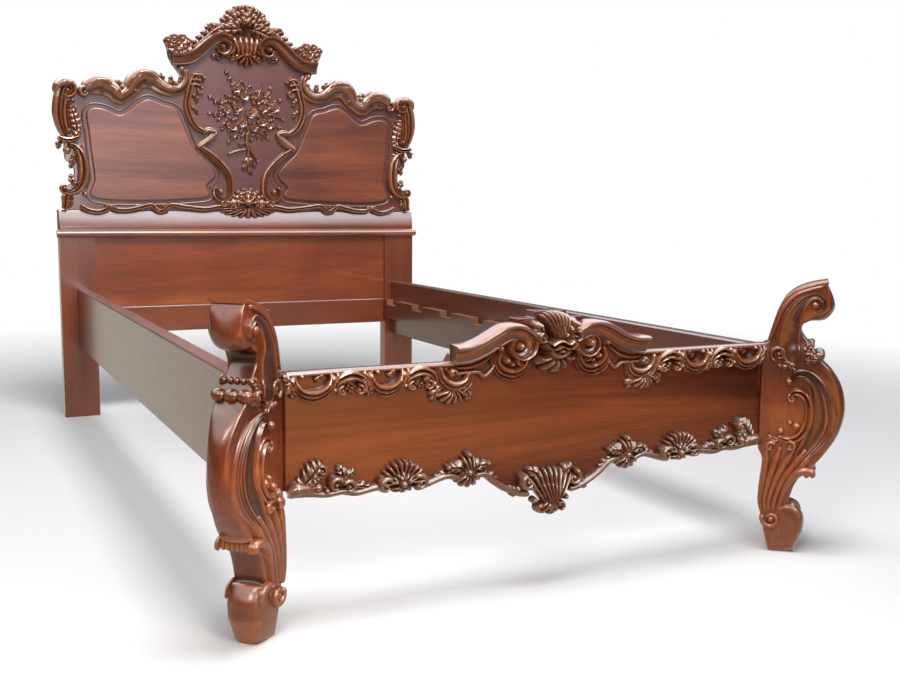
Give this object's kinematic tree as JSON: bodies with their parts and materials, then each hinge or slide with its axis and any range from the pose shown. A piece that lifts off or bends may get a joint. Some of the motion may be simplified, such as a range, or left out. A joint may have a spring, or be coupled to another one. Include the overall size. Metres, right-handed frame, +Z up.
{
  "type": "bed frame",
  "caption": "Carved mahogany bed frame: tall scroll-topped headboard, low footboard on scrolled corner legs, side rails with notched ledgers for slats.",
  "frame": {"origin": "on the floor, under the middle of the frame's overall box", "axes": "+X to the right seen from the foot, +Y from the foot to the head, +Z up"},
  "size_m": [1.3302, 2.1886, 1.39],
  "materials": {
    "mahogany": "gloss lacquer",
    "panel": "gloss lacquer over figured wood",
    "carving": "gloss lacquer, darker in the hollows",
    "steel": "bright"
  },
  "bodies": {
    "root": {"foot_apron_corner_left": "carving", "foot_apron_corner_right": "carving", "foot_apron_leaf_left": "carving", "foot_apron_leaf_right": "carving", "foot_apron_middle": "carving", "foot_apron_shell_left": "carving", "foot_apron_shell_right": "carving", "foot_block_left": "mahogany", "foot_block_right": "mahogany", "foot_cleat": "mahogany", "foot_cornice_left": "carving", "foot_cornice_right": "carving", "foot_crest": "carving", "foot_leg_left": "carving", "foot_leg_right": "carving", "foot_panel": "panel", "foot_scrolls_left": "carving", "foot_scrolls_right": "carving", "head_band": "mahogany", "head_board": "mahogany", "head_border_left": "carving", "head_border_right": "carving", "head_bouquet": "carving", "head_cartouche_left": "carving", "head_cartouche_right": "carving", "head_cleat": "mahogany", "head_crest": "carving", "head_field_left": "panel", "head_field_right": "panel", "head_keystone": "carving", "head_lower_panel": "panel", "head_lower_rail": "mahogany", "head_moulding": "mahogany", "head_pediment_left": "carving", "head_pediment_right": "carving", "head_post_left": "mahogany", "head_post_right": "mahogany", "head_rosette_left": "carving", "head_rosette_right": "carving", "head_shell": "carving", "head_side_scroll_left": "carving", "head_side_scroll_right": "carving", "head_wave_left": "carving", "head_wave_right": "carving", "ledger_left": "mahogany", "ledger_right": "mahogany", "rail_hook_foot_left": "steel", "rail_hook_foot_right": "steel", "rail_hook_head_left": "steel", "rail_hook_head_right": "steel", "rail_keeper_foot_left": "steel", "rail_keeper_foot_right": "steel", "rail_keeper_head_left": "steel", "rail_keeper_head_right": "steel", "side_rail_left": "mahogany", "side_rail_right": "mahogany"}
  },
  "joints": []
}
